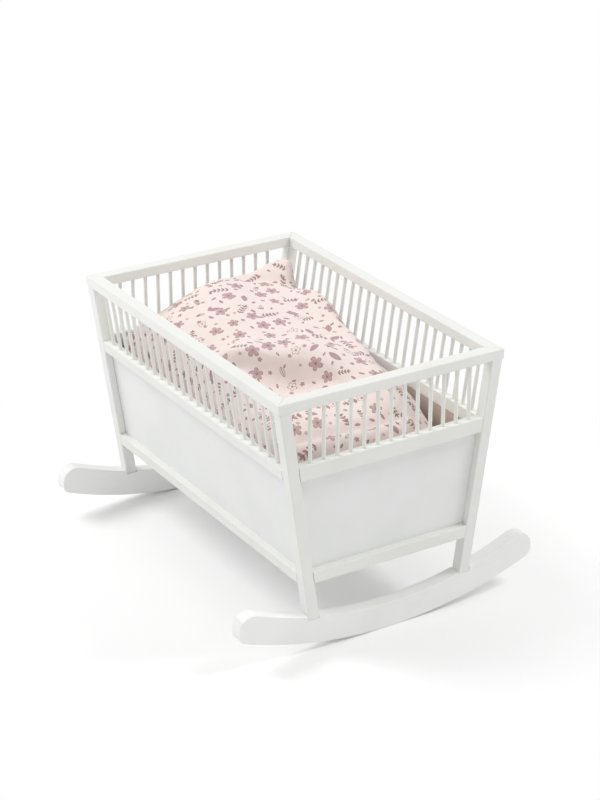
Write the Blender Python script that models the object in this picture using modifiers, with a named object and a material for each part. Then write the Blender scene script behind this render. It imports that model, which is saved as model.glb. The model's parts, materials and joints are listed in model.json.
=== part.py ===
"""Doll cradle: a white slatted cot on two curved rockers, with its bedding.

X runs from the head end to the foot end, Y from the front side to the back side and Z up.
The origin lies on the floor under the middle of the cradle. Lengths are in metres.
The long sides lean outwards. What belongs to a side is modelled upright in that side's own
frame, an empty at the foot of the slant: x along the side, y inwards from the legs' outer
faces, z up the slant.
"""

import math

import bmesh
import bpy
from mathutils import Matrix, Vector

# The frame as a whole
RIM_LENGTH = 0.482
RIM_WIDTH = 0.3172
RIM_HEIGHT = 0.335
LEG_SPREAD_AT_FLOOR = 0.2234
FIT_GAP = 0.0003
ARRIS = 0.0008

# Legs
LEG_THICKNESS = 0.016
LEG_WIDTH = 0.0148
NOTCH_DEPTH = 0.0013

# Rim rails
RIM_RAIL_WIDTH = 0.017
RIM_RAIL_THICKNESS = 0.0135

# Rails between the legs
RAIL_THICKNESS = 0.0125
SIDE_BOTTOM_RAIL_LEVEL = 0.0886
SIDE_BOTTOM_RAIL_HEIGHT = 0.0152
SIDE_MID_RAIL_LEVEL = 0.2296
SIDE_MID_RAIL_HEIGHT = 0.0146
END_BOTTOM_RAIL_LEVEL = 0.0915
END_BOTTOM_RAIL_HEIGHT = 0.0163
END_MID_RAIL_LEVEL = 0.2309
END_MID_RAIL_HEIGHT = 0.019
TENON_LENGTH = 0.005
TENON_THICKNESS = 0.006
TENON_SHOULDER = 0.003

# Spindles
SPINDLE_RADIUS = 0.0025
SPINDLE_SIDES = 8
SPINDLE_SEAT = 0.006
END_SPINDLE_COUNT = 13
END_SPINDLE_INSET = 0.006
SIDE_SPINDLE_COUNT = 23
SIDE_SPINDLE_INSET = 0.007

# Panels and base board
PANEL_THICKNESS = 0.003
PANEL_RECESS = 0.0095
PANEL_TONGUE = 0.002
BASE_THICKNESS = 0.003
BASE_RISE_IN_RAIL = 0.004
BASE_TONGUE = 0.003
BASE_CORNER_CLEARANCE = 0.001

# Rockers
ROCKER_THICKNESS = 0.018
ROCKER_SPAN = 0.427
ROCKER_HEIGHT = 0.0337
ROCKER_UNDERSIDE_RADIUS = 0.572
ROCKER_UPPER_TIP_RADIUS = 0.018
ROCKER_LOWER_TIP_RADIUS = 0.011
ROCKER_TIP_STRAIGHT = 0.006
ROCKER_ARC_STEPS = 27
ROCKER_TIP_STEPS = 5
DOWEL_RADIUS = 0.003
DOWEL_LENGTH = 0.024
DOWEL_SIDES = 10

# Mattress
MATTRESS_THICKNESS = 0.05
MATTRESS_CLEARANCE = 0.005
MATTRESS_ROUNDING = 0.008
MATTRESS_ROUNDING_STEPS = 2

# Pillow
PILLOW_LENGTH = 0.15
PILLOW_WIDTH = 0.2
PILLOW_THICKNESS = 0.06
PILLOW_SEAM = 0.012
PILLOW_LENGTH_SHARES = (0.0, 0.2, 0.5, 0.8, 1.0)
PILLOW_WIDTH_SHARES = (0.0, 0.15, 0.5, 0.85, 1.0)
PILLOW_TOP_SHARES = (
    (0.30, 0.36, 0.40, 0.36, 0.30),
    (0.36, 0.95, 1.05, 0.95, 0.36),
    (0.40, 1.05, 1.10, 1.05, 0.40),
    (0.36, 0.90, 0.95, 0.90, 0.36),
    (0.30, 0.36, 0.40, 0.36, 0.30),
)

# Duvet
DUVET_CLEARANCE = 0.0045
DUVET_RISE = 0.16
DUVET_EDGE = 0.03
DUVET_SEAM_SHARE = 0.33
DUVET_PILLOW_CLEARANCE = 0.004
DUVET_LENGTH_SHARES = (0.0, 0.055, 0.14, 0.28, 0.4, 0.5, 0.57, 0.64, 0.74, 0.86, 1.0)
DUVET_WIDTH_SHARES = (0.0, 0.13, 0.3, 0.44, 0.54, 0.64, 0.76, 0.88, 1.0)
# The top of the duvet: a row for each place along its length, from the front to the back side.
# It is puffed up over the pillow and breaks off in a steep fold halfway along its front half.
DUVET_TOP_SHARES = (
    (0.62, 0.72, 0.79, 0.88, 0.91, 0.93, 0.95, 0.98, 1.00),
    (0.62, 0.75, 0.87, 0.98, 1.02, 1.03, 1.05, 1.10, 1.09),
    (0.64, 0.84, 0.95, 1.01, 1.02, 1.00, 0.95, 0.88, 0.67),
    (0.63, 0.82, 0.94, 0.98, 1.01, 0.96, 0.89, 1.01, 0.98),
    (0.60, 0.76, 0.87, 0.91, 0.93, 0.91, 0.85, 0.88, 0.74),
    (0.59, 0.78, 0.91, 0.93, 0.92, 0.91, 0.83, 0.84, 0.65),
    (0.58, 0.62, 0.62, 0.75, 0.98, 0.93, 0.82, 0.78, 0.57),
    (0.58, 0.60, 0.50, 0.48, 0.79, 0.95, 0.83, 0.73, 0.52),
    (0.57, 0.67, 0.69, 0.67, 0.60, 0.81, 0.79, 0.70, 0.46),
    (0.57, 0.69, 0.73, 0.73, 0.70, 0.67, 0.65, 0.57, 0.34),
    (0.19, 0.30, 0.32, 0.32, 0.31, 0.28, 0.24, 0.18, 0.06),
)
# How far each row of the duvet's underside is lifted by the pillow
DUVET_UNDERSIDE_SHARES = (1.1, 1.1, 1.1, 1.3, 0.4, 0.1, 0.0, 0.0, 0.0, 0.0, 0.0)
SUBDIVISION_LEVELS = 2

# Colours and finishes
WHITE_PAINT = (0.90, 0.90, 0.88, 1.0)
WHITE_BOARD = (0.88, 0.88, 0.86, 1.0)
BARE_BEECH = (0.62, 0.45, 0.28, 1.0)
MATTRESS_COLOUR = (0.86, 0.84, 0.80, 1.0)
BEDDING_COLOUR = (0.90, 0.74, 0.72, 1.0)
PAINT_ROUGHNESS = 0.45
WOOD_ROUGHNESS = 0.7
CLOTH_ROUGHNESS = 0.95

# Edges that turn by more than this are drawn sharp on a piece that is shaded smooth
SPINDLE_SHARP_ANGLE = math.radians(50)
ROCKER_SHARP_ANGLE = math.radians(40)
MATTRESS_SHARP_ANGLE = math.radians(60)
ROCKER_ARRIS_ANGLE = math.radians(60)

ENDS = {"head": -1, "foot": 1}
SIDES = {"front": -1, "back": 1}

# Worked out from the sizes above
HALF_LENGTH = RIM_LENGTH / 2
HALF_WIDTH = RIM_WIDTH / 2
HALF_SPREAD = LEG_SPREAD_AT_FLOOR / 2
SLOPE = (HALF_WIDTH - HALF_SPREAD) / RIM_HEIGHT
TILT = math.atan(SLOPE)
RIM_UNDERSIDE = RIM_HEIGHT - RIM_RAIL_THICKNESS
LEG_INNER_X = HALF_LENGTH - LEG_THICKNESS
END_BOTTOM_RAIL_TOP = END_BOTTOM_RAIL_LEVEL + END_BOTTOM_RAIL_HEIGHT
END_MID_RAIL_TOP = END_MID_RAIL_LEVEL + END_MID_RAIL_HEIGHT
BASE_LEVEL = END_BOTTOM_RAIL_LEVEL + BASE_RISE_IN_RAIL
MATTRESS_LEVEL = BASE_LEVEL + BASE_THICKNESS + FIT_GAP
MATTRESS_TOP = MATTRESS_LEVEL + MATTRESS_THICKNESS
BED_TOP = MATTRESS_TOP + FIT_GAP


def half_width_inside(level, depth):
    """Distance from the middle to a plane `depth` inside the slanted outer face, at a level."""
    return HALF_SPREAD + level * SLOPE - depth / math.cos(TILT)


def up_the_slant(level, depth):
    """Height in a side's own frame of the point at this level and depth."""
    return (level - depth * math.sin(TILT)) / math.cos(TILT)


def clear_scene():
    for old in list(bpy.data.objects):
        bpy.data.objects.remove(old, do_unlink=True)


def new_collection(name):
    made = bpy.data.collections.new(name)
    bpy.context.scene.collection.children.link(made)
    return made


def add_object(name, mesh, parent=None, cutter=False):
    made = bpy.data.objects.new(name, mesh)
    if cutter:
        made.hide_render = True
        made.display_type = "WIRE"
        CUTTERS.objects.link(made)
    else:
        CRADLE.objects.link(made)
    made.parent = parent
    return made


def add_frame(name, y, turn):
    """An empty at the foot of a slanted side, its z axis up the slant and its y axis inwards."""
    made = bpy.data.objects.new(name, None)
    made.location = (0, y, 0)
    made.rotation_euler = (TILT, 0, turn)
    CRADLE.objects.link(made)
    return made


def to_mesh(bm, name):
    mesh = bpy.data.meshes.new(name)
    bm.to_mesh(mesh)
    bm.free()
    return mesh


def box_bmesh(low, high):
    low = Vector(low)
    high = Vector(high)
    bm = bmesh.new()
    bmesh.ops.create_cube(bm, size=1)
    bmesh.ops.scale(bm, vec=high - low, verts=bm.verts)
    bmesh.ops.translate(bm, vec=(low + high) / 2, verts=bm.verts)
    return bm


def box(name, low, high, parent=None, cutter=False):
    return add_object(name, to_mesh(box_bmesh(low, high), name), parent, cutter)


def rods(name, places, radius, bottom, top, sides, parent=None, cutter=False):
    """Upright rods at the given x, y places, all in one mesh."""
    bm = bmesh.new()
    for x, y in places:
        centre = Matrix.Translation((x, y, (bottom + top) / 2))
        bmesh.ops.create_cone(
            bm, cap_ends=True, segments=sides, radius1=radius, radius2=radius,
            depth=top - bottom, matrix=centre,
        )
    mesh = to_mesh(bm, name)
    mesh.shade_smooth()
    mesh.set_sharp_from_angle(angle=SPINDLE_SHARP_ANGLE)
    return add_object(name, mesh, parent, cutter)


def plate(name, outline, thickness, rotation=(0, 0, 0), location=(0, 0, 0)):
    """A flat board with the given outline, its thickness centred on the outline's plane."""
    curve = bpy.data.curves.new(name, "CURVE")
    curve.dimensions = "2D"
    curve.fill_mode = "BOTH"
    curve.extrude = thickness / 2
    spline = curve.splines.new("POLY")
    spline.points.add(len(outline) - 1)
    for point, (x, y) in zip(spline.points, outline):
        point.co = (x, y, 0, 1)
    spline.use_cyclic_u = True
    drawn = bpy.data.objects.new(name + "_outline", curve)
    drawn.rotation_euler = rotation
    drawn.location = location
    CRADLE.objects.link(drawn)
    bpy.context.view_layer.update()
    depsgraph = bpy.context.evaluated_depsgraph_get()
    mesh = bpy.data.meshes.new_from_object(drawn.evaluated_get(depsgraph))
    mesh.name = name
    bm = bmesh.new()
    bm.from_mesh(mesh)
    bmesh.ops.remove_doubles(bm, verts=bm.verts, dist=FIT_GAP / 10)
    bm.to_mesh(mesh)
    bm.free()
    made = add_object(name, mesh)
    made.matrix_world = drawn.matrix_world
    bpy.data.objects.remove(drawn, do_unlink=True)
    return made


def soften_along(piece, axis):
    """Break the long edges of a stick: those that run mostly along the axis."""
    mesh = piece.data
    weights = mesh.attributes.new("bevel_weight_edge", "FLOAT", "EDGE")
    for edge in mesh.edges:
        run = mesh.vertices[edge.vertices[1]].co - mesh.vertices[edge.vertices[0]].co
        along = abs(run[axis]) > run.length / 2
        weights.data[edge.index].value = 1 if along else 0
    bevel = piece.modifiers.new("soft_edges", "BEVEL")
    bevel.width = ARRIS
    bevel.segments = 1
    bevel.limit_method = "WEIGHT"


def boolean(piece, operation, other):
    change = piece.modifiers.new(other.name, "BOOLEAN")
    change.operation = operation
    change.object = other


def cut(piece, *cutters):
    for cutter in cutters:
        boolean(piece, "DIFFERENCE", cutter)


def finish(piece, colour, roughness):
    material = bpy.data.materials.new(piece.name + "_finish")
    material.use_nodes = True
    shader = material.node_tree.nodes["Principled BSDF"]
    shader.inputs["Base Color"].default_value = colour
    shader.inputs["Roughness"].default_value = roughness
    shader.inputs["Metallic"].default_value = 0
    material.diffuse_color = colour
    piece.data.materials.clear()
    piece.data.materials.append(material)


def grown(low, high, by):
    return [value - by for value in low], [value + by for value in high]


# Legs


def rocker_tips():
    """Centres of a rocker's two arcs at its +y tip: the lower one, and the upper one over it."""
    lower = ROCKER_SPAN / 2 - ROCKER_LOWER_TIP_RADIUS
    reach = ROCKER_UNDERSIDE_RADIUS - ROCKER_LOWER_TIP_RADIUS
    level = ROCKER_UNDERSIDE_RADIUS - math.sqrt(reach ** 2 - lower ** 2)
    return (lower, level), (ROCKER_SPAN / 2 - ROCKER_UPPER_TIP_RADIUS, level + ROCKER_TIP_STRAIGHT)


def rocker_top_radius():
    """Radius of the top arc, which leaves the middle level and runs into the upper tip arcs."""
    y, z = rocker_tips()[1]
    drop = ROCKER_HEIGHT - z
    across = y ** 2 + drop ** 2 - ROCKER_UPPER_TIP_RADIUS ** 2
    return across / (ROCKER_UPPER_TIP_RADIUS - drop) / 2


def rocker_top(y):
    """Level of the rockers' top arc at a distance from the middle."""
    radius = rocker_top_radius()
    return ROCKER_HEIGHT + radius - math.sqrt(radius ** 2 - y ** 2)


def foot_level():
    """Level of the legs' feet: a notch in the rocker that runs out at a leg's inner face."""
    return rocker_top(half_width_inside(ROCKER_HEIGHT, LEG_WIDTH)) - NOTCH_DEPTH


def leg_x(end, side):
    """A leg's two faces along its side's own x axis, which the back side's frame turns round."""
    outer = -ENDS[end] * SIDES[side] * HALF_LENGTH
    inner = -ENDS[end] * SIDES[side] * LEG_INNER_X
    return min(outer, inner), max(outer, inner)


def level_ends(low, high, bottom, top):
    """A stick up a side's own frame, over the given x and y, cut at two levels of the cradle."""
    bm = box_bmesh((*low, bottom), (*high, top))
    for vert in bm.verts:
        vert.co.z = up_the_slant(vert.co.z, vert.co.y)
    return bm


def make_leg(end, side):
    """A square stick that leans with its side, cut level at both ends."""
    near, far = leg_x(end, side)
    bm = level_ends((near, 0), (far, LEG_WIDTH), foot_level(), RIM_UNDERSIDE - FIT_GAP)
    name = f"{end}_{side}_leg"
    leg = add_object(name, to_mesh(bm, name), FRAMES[side])
    soften_along(leg, 2)
    finish(leg, WHITE_PAINT, PAINT_ROUGHNESS)
    return leg


def make_dowel(end, side, grow=0):
    """The dowel between a leg's foot and its rocker, or with `grow` the cutter for its holes."""
    near, far = leg_x(end, side)
    middle = up_the_slant(foot_level() - FIT_GAP / 2, LEG_WIDTH / 2)
    reach = DOWEL_LENGTH / 2 + grow
    kind = "dowel_holes" if grow else "dowel"
    dowel = rods(
        f"{end}_{side}_{kind}", [((near + far) / 2, LEG_WIDTH / 2)], DOWEL_RADIUS + grow,
        middle - reach, middle + reach, DOWEL_SIDES, FRAMES[side], cutter=bool(grow),
    )
    if not grow:
        finish(dowel, BARE_BEECH, WOOD_ROUGHNESS)
    return dowel


# Rails


def make_side_rail(side, which, level, height, legs):
    """A rail between the legs of a leaning side, square to the slant, with stub tenons."""
    bottom = up_the_slant(level, 0)
    top = bottom + height
    reach = LEG_INNER_X - FIT_GAP
    name = f"{side}_{which}_rail"
    rail = box(name, (-reach, 0, bottom), (reach, RAIL_THICKNESS, top), FRAMES[side])
    soften_along(rail, 0)
    middle = RAIL_THICKNESS / 2
    low = (-reach - TENON_LENGTH, middle - TENON_THICKNESS / 2, bottom + TENON_SHOULDER)
    high = (reach + TENON_LENGTH, middle + TENON_THICKNESS / 2, top - TENON_SHOULDER)
    boolean(rail, "UNION", box(name + "_tenons", low, high, FRAMES[side], cutter=True))
    mortises = box(name + "_mortises", *grown(low, high, FIT_GAP), FRAMES[side], cutter=True)
    for end in ENDS:
        cut(legs[end, side], mortises)
    finish(rail, WHITE_PAINT, PAINT_ROUGHNESS)
    return rail


def slanted_ends(low, high, reach):
    """A box from corner to corner in x and z whose half width in y is `reach` of the level."""
    bm = box_bmesh((low[0], -HALF_WIDTH, low[1]), (high[0], HALF_WIDTH, high[1]))
    for vert in bm.verts:
        vert.co.y = math.copysign(reach(vert.co.z), vert.co.y)
    return bm


def end_depths(end, outer, inner):
    """The x values of a layer between two depths inside an end's outer face, in rising order."""
    faces = (ENDS[end] * (HALF_LENGTH - outer), ENDS[end] * (HALF_LENGTH - inner))
    return min(faces), max(faces)


def make_end_rail(end, which, level, height, legs):
    """A level rail between the legs of an end, its ends cut to the legs' lean, with tenons."""
    near, far = end_depths(end, 0, RAIL_THICKNESS)
    top = level + height

    def reach(z):
        return half_width_inside(z, LEG_WIDTH + FIT_GAP)

    name = f"{end}_{which}_rail"
    bm = slanted_ends((near, level), (far, top), reach)
    rail = add_object(name, to_mesh(bm, name))
    soften_along(rail, 1)
    middle = (near + far) / 2
    tip = reach(level + height / 2) + TENON_LENGTH
    low = (middle - TENON_THICKNESS / 2, -tip, level + TENON_SHOULDER)
    high = (middle + TENON_THICKNESS / 2, tip, top - TENON_SHOULDER)
    boolean(rail, "UNION", box(name + "_tenons", low, high, cutter=True))
    mortises = box(name + "_mortises", *grown(low, high, FIT_GAP), cutter=True)
    for side in SIDES:
        cut(legs[end, side], mortises)
    finish(rail, WHITE_PAINT, PAINT_ROUGHNESS)
    return rail


def make_rim_rail(name, long_x):
    """A level rim rail for +x or +y, mitred at both ends. `long_x` says that it runs along x."""
    run, out = (HALF_LENGTH, HALF_WIDTH) if long_x else (HALF_WIDTH, HALF_LENGTH)
    # Square to the mitre, each rail gives up half of the gap
    back_off = FIT_GAP / math.sqrt(2)
    inner_run = run - RIM_RAIL_WIDTH
    outline = [
        (-run + back_off, out),
        (-inner_run + back_off, out - RIM_RAIL_WIDTH),
        (inner_run - back_off, out - RIM_RAIL_WIDTH),
        (run - back_off, out),
    ]
    sign = SIDES[name] if long_x else ENDS[name]
    turn = 0 if sign > 0 else math.pi
    if not long_x:
        turn -= math.pi / 2
    middle = RIM_HEIGHT - RIM_RAIL_THICKNESS / 2
    rail = plate(name + "_rim_rail", outline, RIM_RAIL_THICKNESS, (0, 0, turn), (0, 0, middle))
    soften_along(rail, 0)
    finish(rail, WHITE_PAINT, PAINT_ROUGHNESS)
    return rail


# Spindles


def add_end_spindles(end, mid_rail, rim_rail):
    """Upright spindles, each seated in a blind hole in the mid rail and one in the rim rail."""
    x = ENDS[end] * (HALF_LENGTH - END_SPINDLE_INSET)
    opening = 2 * half_width_inside(END_MID_RAIL_TOP, LEG_WIDTH)
    pitch = opening / (END_SPINDLE_COUNT + 1)
    first = -pitch * (END_SPINDLE_COUNT - 1) / 2
    places = [(x, first + pitch * n) for n in range(END_SPINDLE_COUNT)]
    bottom = END_MID_RAIL_TOP - SPINDLE_SEAT
    top = RIM_UNDERSIDE + SPINDLE_SEAT
    for number, place in enumerate(places, start=1):
        spindle = rods(
            f"{end}_spindle_{number:02d}", [place], SPINDLE_RADIUS, bottom, top, SPINDLE_SIDES
        )
        finish(spindle, WHITE_PAINT, PAINT_ROUGHNESS)
    holes = rods(
        end + "_spindle_holes", places, SPINDLE_RADIUS + FIT_GAP, bottom - FIT_GAP,
        top + FIT_GAP, SPINDLE_SIDES, cutter=True,
    )
    cut(mid_rail, holes)
    cut(rim_rail, holes)


def add_side_spindles(side, mid_rail, rim_rail):
    """Leaning spindles, glued into the side's mid rail as one comb and seated in the rim rail."""
    pitch = 2 * LEG_INNER_X / (SIDE_SPINDLE_COUNT + 1)
    first = -pitch * (SIDE_SPINDLE_COUNT - 1) / 2
    places = [(first + pitch * n, SIDE_SPINDLE_INSET) for n in range(SIDE_SPINDLE_COUNT)]
    rail_top = up_the_slant(SIDE_MID_RAIL_LEVEL, 0) + SIDE_MID_RAIL_HEIGHT
    bottom = rail_top - SPINDLE_SEAT
    top = up_the_slant(RIM_UNDERSIDE + SPINDLE_SEAT, SIDE_SPINDLE_INSET)
    comb = rods(
        side + "_spindles", places, SPINDLE_RADIUS, bottom, top, SPINDLE_SIDES,
        FRAMES[side], cutter=True,
    )
    boolean(mid_rail, "UNION", comb)
    holes = rods(
        side + "_spindle_holes", places, SPINDLE_RADIUS + FIT_GAP, bottom, top + FIT_GAP,
        SPINDLE_SIDES, FRAMES[side], cutter=True,
    )
    cut(rim_rail, holes)


# Panels and base board


def make_side_panel(side, legs):
    """A thin board let into grooves in the legs, between the side's bottom and mid rails."""
    reach = LEG_INNER_X + PANEL_TONGUE
    bottom = up_the_slant(SIDE_BOTTOM_RAIL_LEVEL, 0) + SIDE_BOTTOM_RAIL_HEIGHT + FIT_GAP
    top = up_the_slant(SIDE_MID_RAIL_LEVEL, 0) - FIT_GAP
    low = (-reach, PANEL_RECESS, bottom)
    high = (reach, PANEL_RECESS + PANEL_THICKNESS, top)
    panel = box(side + "_panel", low, high, FRAMES[side])
    grooves = box(side + "_panel_grooves", *grown(low, high, FIT_GAP), FRAMES[side], cutter=True)
    for end in ENDS:
        cut(legs[end, side], grooves)
    finish(panel, WHITE_BOARD, PAINT_ROUGHNESS)


def make_end_panel(end, legs):
    """A thin board that widens upwards with the legs, whose grooves hold its edges."""
    near, far = end_depths(end, PANEL_RECESS, PANEL_RECESS + PANEL_THICKNESS)
    bottom = END_BOTTOM_RAIL_TOP + FIT_GAP
    top = END_MID_RAIL_LEVEL - FIT_GAP
    name = end + "_panel"

    def reach(z):
        return half_width_inside(z, LEG_WIDTH) + PANEL_TONGUE

    def groove_reach(z):
        return reach(z) + FIT_GAP

    board = slanted_ends((near, bottom), (far, top), reach)
    panel = add_object(name, to_mesh(board, name))
    low, high = grown((near, bottom), (far, top), FIT_GAP)
    grooves = to_mesh(slanted_ends(low, high, groove_reach), name + "_grooves")
    cutter = add_object(name + "_grooves", grooves, cutter=True)
    for side in SIDES:
        cut(legs[end, side], cutter)
    finish(panel, WHITE_BOARD, PAINT_ROUGHNESS)


def make_base_board(rails):
    """The floor of the cot, in grooves in the four bottom rails, its corners cut round the legs."""
    tongue_x = HALF_LENGTH - RAIL_THICKNESS + BASE_TONGUE
    tongue_y = half_width_inside(BASE_LEVEL, RAIL_THICKNESS) + BASE_TONGUE
    notch_x = LEG_INNER_X - BASE_CORNER_CLEARANCE
    notch_y = half_width_inside(BASE_LEVEL, LEG_WIDTH) - BASE_CORNER_CLEARANCE
    corner = [(tongue_x, notch_y), (notch_x, notch_y), (notch_x, tongue_y)]
    outline = corner + [(-x, y) for x, y in reversed(corner)]
    outline += [(-x, -y) for x, y in outline]
    middle = BASE_LEVEL + BASE_THICKNESS / 2
    board = plate("base_board", outline, BASE_THICKNESS, location=(0, 0, middle))
    low = (-tongue_x, -tongue_y, BASE_LEVEL)
    high = (tongue_x, tongue_y, BASE_LEVEL + BASE_THICKNESS)
    grooves = box("base_board_grooves", *grown(low, high, FIT_GAP), cutter=True)
    for rail in rails:
        cut(rail, grooves)
    finish(board, WHITE_BOARD, PAINT_ROUGHNESS)


# Rockers


def arc(centre, radius, start, end, steps):
    """Points on an arc, both ends included. Angles are in radians from the first axis."""
    angles = [start + (end - start) * n / steps for n in range(steps + 1)]
    return [(centre[0] + radius * math.cos(a), centre[1] + radius * math.sin(a)) for a in angles]


def rocker_outline():
    """A curved band seen from its end: underside arc, rounded tips and a tighter top arc."""
    under = ROCKER_UNDERSIDE_RADIUS
    top_radius = rocker_top_radius()
    top_centre = ROCKER_HEIGHT + top_radius
    low_tip, high_tip = rocker_tips()
    low_angle = math.atan2(low_tip[1] - under, low_tip[0])
    high_angle = math.atan2(top_centre - high_tip[1], -high_tip[0])
    underside = arc((0, under), under, -math.pi - low_angle, low_angle, ROCKER_ARC_STEPS)
    right = arc(low_tip, ROCKER_LOWER_TIP_RADIUS, low_angle, 0, ROCKER_TIP_STEPS)
    right += arc(high_tip, ROCKER_UPPER_TIP_RADIUS, 0, high_angle, ROCKER_TIP_STEPS)
    left = [(-y, z) for y, z in reversed(right)]
    top = arc((0, top_centre), top_radius, high_angle - math.pi, -high_angle, ROCKER_ARC_STEPS)
    outline = underside + right[1:] + top[1:-1] + left[:-1]
    flat = min(z for y, z in outline)
    return [(y, z - flat) for y, z in outline]


def make_rocker(end, notches, dowel_holes):
    near, far = end_depths(end, 0, ROCKER_THICKNESS)
    upright = (math.pi / 2, 0, math.pi / 2)
    rocker = plate(
        end + "_rocker", rocker_outline(), ROCKER_THICKNESS, upright, ((near + far) / 2, 0, 0)
    )
    bevel = rocker.modifiers.new("soft_edges", "BEVEL")
    bevel.width = ARRIS
    bevel.segments = 1
    bevel.limit_method = "ANGLE"
    bevel.angle_limit = ROCKER_ARRIS_ANGLE
    for side in SIDES:
        cut(rocker, notches[side], dowel_holes[end, side])
    rocker.data.shade_smooth()
    rocker.data.set_sharp_from_angle(angle=ROCKER_SHARP_ANGLE)
    finish(rocker, WHITE_PAINT, PAINT_ROUGHNESS)


def make_notch_cutter(side):
    """What the legs' feet take out of both rockers at this side, right through their thickness."""
    low = (-HALF_LENGTH - LEG_THICKNESS, -FIT_GAP)
    high = (HALF_LENGTH + LEG_THICKNESS, LEG_WIDTH + FIT_GAP)
    floor = foot_level() - FIT_GAP
    name = side + "_rocker_notches"
    notches = level_ends(low, high, floor, floor + ROCKER_HEIGHT)
    return add_object(name, to_mesh(notches, name), FRAMES[side], cutter=True)


# Bedding


def caged_cushion(name, length_shares, width_shares, place):
    """A closed cage with the given divisions, rounded by subdivision.

    `place` gives the position of a cage point from its row, its column and whether it is on top.
    """
    rows = len(length_shares) - 1
    columns = len(width_shares) - 1
    bm = bmesh.new()
    bmesh.ops.create_cube(bm, size=1)
    for axis, cells in ((0, rows), (1, columns)):
        along = [e for e in bm.edges if abs((e.verts[1].co - e.verts[0].co)[axis]) > FIT_GAP]
        bmesh.ops.subdivide_edges(bm, edges=along, cuts=cells - 1, use_grid_fill=True)
    for vert in bm.verts:
        row = round((vert.co.x + 1 / 2) * rows)
        column = round((vert.co.y + 1 / 2) * columns)
        vert.co = place(row, column, vert.co.z > 0)
    mesh = to_mesh(bm, name)
    mesh.shade_smooth()
    cushion = add_object(name, mesh)
    rounding = cushion.modifiers.new("roundness", "SUBSURF")
    rounding.levels = SUBDIVISION_LEVELS
    rounding.render_levels = SUBDIVISION_LEVELS
    return cushion


def make_mattress():
    """A flat foam pad with rounded edges that fills the floor of the cot."""
    reach_x = HALF_LENGTH - RIM_RAIL_WIDTH - MATTRESS_CLEARANCE
    reach_y = half_width_inside(MATTRESS_LEVEL, RAIL_THICKNESS) - MATTRESS_CLEARANCE
    low = (-reach_x, -reach_y, 0)
    high = (reach_x, reach_y, MATTRESS_THICKNESS)
    mattress = box("mattress", low, high)
    mattress.location = (0, 0, MATTRESS_LEVEL)
    bevel = mattress.modifiers.new("soft_edges", "BEVEL")
    bevel.width = MATTRESS_ROUNDING
    bevel.segments = MATTRESS_ROUNDING_STEPS
    mattress.data.shade_smooth()
    mattress.data.set_sharp_from_angle(angle=MATTRESS_SHARP_ANGLE)
    finish(mattress, MATTRESS_COLOUR, CLOTH_ROUGHNESS)


def pillow_middle_x():
    return -HALF_LENGTH + RIM_RAIL_WIDTH + MATTRESS_CLEARANCE + PILLOW_LENGTH / 2


def make_pillow():
    """A plump pillow at the head end, under the duvet."""

    def place(row, column, on_top):
        x = (PILLOW_LENGTH_SHARES[row] - 1 / 2) * PILLOW_LENGTH
        y = (PILLOW_WIDTH_SHARES[column] - 1 / 2) * PILLOW_WIDTH
        top = PILLOW_TOP_SHARES[row][column] * PILLOW_THICKNESS
        edge_row = row in (0, len(PILLOW_LENGTH_SHARES) - 1)
        edge_column = column in (0, len(PILLOW_WIDTH_SHARES) - 1)
        bottom = PILLOW_SEAM if edge_row or edge_column else 0
        return Vector((x, y, top if on_top else bottom))

    pillow = caged_cushion("pillow", PILLOW_LENGTH_SHARES, PILLOW_WIDTH_SHARES, place)
    pillow.location = (pillow_middle_x(), 0, BED_TOP)
    finish(pillow, BEDDING_COLOUR, CLOTH_ROUGHNESS)


def make_duvet():
    """A thick down duvet that fills the cot: high over the pillow, falling to the foot end."""
    half_length = HALF_LENGTH - RIM_RAIL_WIDTH - DUVET_CLEARANCE
    over_pillow = PILLOW_THICKNESS + DUVET_PILLOW_CLEARANCE

    def place(row, column, on_top):
        lift = DUVET_UNDERSIDE_SHARES[row] * over_pillow
        top = DUVET_TOP_SHARES[row][column] * DUVET_RISE
        z = top if on_top else lift
        edge_row = row in (0, len(DUVET_LENGTH_SHARES) - 1)
        edge_column = column in (0, len(DUVET_WIDTH_SHARES) - 1)
        if not on_top and (edge_row or edge_column):
            seam = lift + (top - lift) * DUVET_SEAM_SHARE
            z = max(lift, top - DUVET_EDGE) if edge_row else seam
        half_width = half_width_inside(BED_TOP + z, RAIL_THICKNESS) - DUVET_CLEARANCE
        x = (2 * DUVET_LENGTH_SHARES[row] - 1) * half_length
        y = (2 * DUVET_WIDTH_SHARES[column] - 1) * half_width
        return Vector((x, y, z))

    duvet = caged_cushion("duvet", DUVET_LENGTH_SHARES, DUVET_WIDTH_SHARES, place)
    duvet.location = (0, 0, BED_TOP)
    finish(duvet, BEDDING_COLOUR, CLOTH_ROUGHNESS)


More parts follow.
